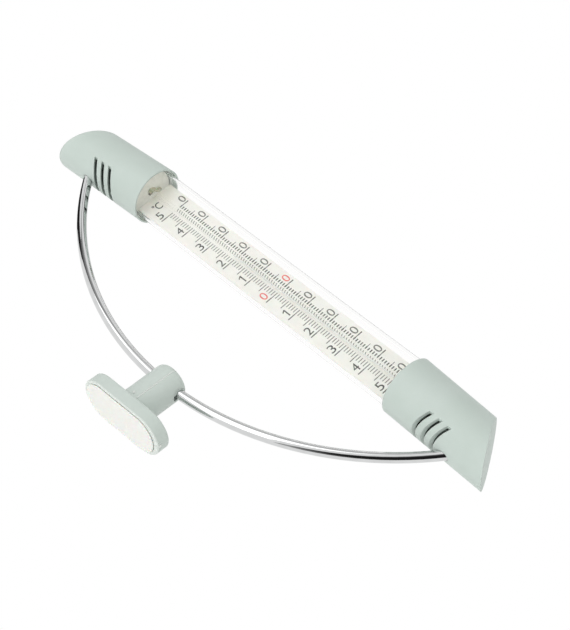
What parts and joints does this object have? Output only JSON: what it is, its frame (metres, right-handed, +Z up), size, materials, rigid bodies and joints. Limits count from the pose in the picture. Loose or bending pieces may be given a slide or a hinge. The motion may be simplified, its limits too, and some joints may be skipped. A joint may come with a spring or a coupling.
{
  "type": "window thermometer",
  "caption": "Outdoor window thermometer: clear tube with a printed scale between slanted end caps, on a chrome bow that slides and swivels in a stick-on foot.",
  "frame": {"origin": "centre of the adhesive pad's outer face, which lies on the window pane x = 0", "axes": "-X points into the pane, +X away from it towards the tube, +Z up along the foot plate and the rod where the foot grips it, +Y to the back of the scale"},
  "size_m": [0.1005, 0.0302, 0.2429],
  "materials": {
    "green_plastic": "fine satin grain, pale grey-green",
    "pad_foam": "smooth white closed-cell foam",
    "chrome_rod": "polished chrome plate",
    "grey_rubber": "dull grey",
    "clear_tube": "clear and smooth",
    "clear_glass": "clear and smooth",
    "scale_white": "smooth white with dark print",
    "liquid": "pale liquid",
    "glue": "set amber glue"
  },
  "bodies": {
    "foot": {"foot": "green_plastic", "adhesive_pad": "pad_foam"},
    "grip": {"grip_sleeve": "green_plastic"},
    "bracket": {"bow": "chrome_rod", "top_cap": "green_plastic", "bottom_cap": "green_plastic", "top_washer": "grey_rubber", "bottom_washer": "grey_rubber"},
    "tube": {"outer_tube": "clear_tube", "top_plug": "grey_rubber", "bottom_plug": "grey_rubber", "scale_plate": "scale_white", "capillary_glass": "clear_glass", "bulb_liquid": "liquid", "glue_dab": "glue"},
    "column": {"liquid_thread": "liquid"}
  },
  "joints": [
    {"name": "swivel", "type": "hinge", "parent": "foot", "child": "grip", "pos_m": [0.0235, 0, 0], "axis": [0, 0, 1], "range_deg": [-82.86, 97.14]},
    {"name": "slide_along_bow", "type": "hinge", "parent": "grip", "child": "bracket", "pos_m": [0.15567, -0.01656, 0], "axis": [0.1243, 0.9922, 0], "range_deg": [-47.16, 42.84]},
    {"name": "tube_turn", "type": "hinge", "parent": "bracket", "child": "tube", "pos_m": [0.08507, -0.00771, 0.00268], "axis": [0.0374, -0.0047, 0.9993], "continuous": true},
    {"name": "reading", "type": "slide", "parent": "tube", "child": "column", "axis": [0.0374, -0.0047, 0.9993], "range_m": [-0.09145, 0.03735], "deforming": ["liquid_thread"]}
  ]
}
